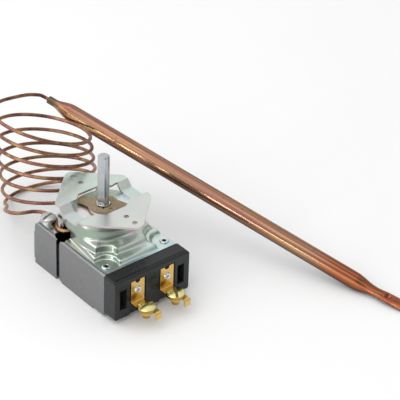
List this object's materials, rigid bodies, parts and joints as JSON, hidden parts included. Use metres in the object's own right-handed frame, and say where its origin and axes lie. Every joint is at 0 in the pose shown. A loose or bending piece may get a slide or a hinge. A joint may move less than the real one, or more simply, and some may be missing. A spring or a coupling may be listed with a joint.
{
  "type": "capillary thermostat",
  "caption": "Rotary capillary thermostat: metal-cased switch with a D-shaped control shaft, folded mounting bracket, screw terminals, formed capillary turns and a rod-shaped sensing bulb.",
  "frame": {"origin": "on the shaft's axis, in the top plane of the bracket's two wings, which lie against the panel", "axes": "+Z along the shaft, out through the panel; +Y from the terminals towards the capillary turns; +X to the right seen from the terminals' side"},
  "size_m": [0.1417, 0.2187, 0.0742],
  "materials": {
    "zinc_plated_sheet": "zinc plated, glossy, with blue and violet tints",
    "zinc_plated_cover": "zinc plated, mirror-like, pale green tint",
    "zinc_plated_bracket": "zinc plated, glossy",
    "dark_plated_sheet": "plated, satin",
    "black_phenolic": "moulded, soft sheen",
    "terminal_brass": "bright",
    "screw_brass": "turned, bright",
    "rivet_tin": "tinned, bright",
    "eyelet_zinc": "zinc plated, bright",
    "screw_zinc": "zinc plated, bright",
    "bushing_steel": "turned, bright",
    "tan_fibre": "resin-bonded fibre, matte",
    "shaft_steel": "drawn, satin",
    "element_bronze": "plain, satin",
    "spring_steel": "drawn wire, bright",
    "white_ceramic": "fired, matte",
    "blade_bronze": "rolled, bright",
    "capillary_copper": "drawn copper, slightly aged",
    "bulb_copper": "drawn copper, aged, with lengthwise streaks"
  },
  "bodies": {
    "housing": {"front_shell": "zinc_plated_sheet", "rear_shell": "zinc_plated_sheet", "base_plate": "dark_plated_sheet", "cover": "zinc_plated_cover", "switch_base": "black_phenolic", "terminal_left": "terminal_brass", "terminal_right": "terminal_brass", "terminal_screws": "screw_brass", "terminal_rivets": "rivet_tin", "cover_eyelets": "eyelet_zinc", "clamp_screw": "screw_zinc", "clamp_spacer": "eyelet_zinc", "bracket": "zinc_plated_bracket", "bushing": "bushing_steel", "fibre_plate": "tan_fibre", "lever_pin": "spring_steel", "blade_carrier": "terminal_brass", "fixed_contact": "terminal_brass", "capillary": "capillary_copper", "bulb": "bulb_copper"},
    "control_shaft": {"shaft": "shaft_steel", "retaining_ring": "bushing_steel"},
    "element": {"power_element": "element_bronze", "backlash_spring": "spring_steel"},
    "button": {"push_button": "white_ceramic"},
    "switch_lever": {"lever": "dark_plated_sheet"},
    "switch_plunger": {"plunger": "white_ceramic"},
    "moving_contact": {"contact_blade": "blade_bronze"}
  },
  "joints": [
    {"name": "shaft_turn", "type": "hinge", "parent": "housing", "child": "control_shaft", "pos_m": [0, 0, 0], "axis": [0, 0, 1], "range_deg": [-135, 135]},
    {"name": "element_travel", "type": "slide", "parent": "housing", "child": "element", "axis": [0, 0, 1], "range_m": [-0.000374, 0.000374], "deforming": ["backlash_spring"]},
    {"name": "button_travel", "type": "slide", "parent": "element", "child": "button", "axis": [0, 0, -1], "range_m": [0, 0.0005], "stiffness_N_per_m": 200},
    {"name": "lever_tilt", "type": "hinge", "parent": "housing", "child": "switch_lever", "pos_m": [0, 0.014, -0.0245], "axis": [1, 0, 0], "range_deg": [0, 2.2]},
    {"name": "plunger_travel", "type": "slide", "parent": "housing", "child": "switch_plunger", "axis": [0, 0, -1], "range_m": [0, 0.00105]},
    {"name": "contact_flex", "type": "hinge", "parent": "housing", "child": "moving_contact", "pos_m": [0, -0.027, -0.0311], "axis": [-1, 0, 0], "range_deg": [0, 4.6]}
  ],
  "couplings": [
    {"joint": "shaft_turn", "follows": "element_travel", "rad_per_m": -6283.2},
    {"joint": "lever_tilt", "follows": "button_travel", "rad_per_m": 71.43},
    {"joint": "plunger_travel", "follows": "button_travel", "ratio": 2},
    {"joint": "contact_flex", "follows": "button_travel", "rad_per_m": 153.85}
  ]
}
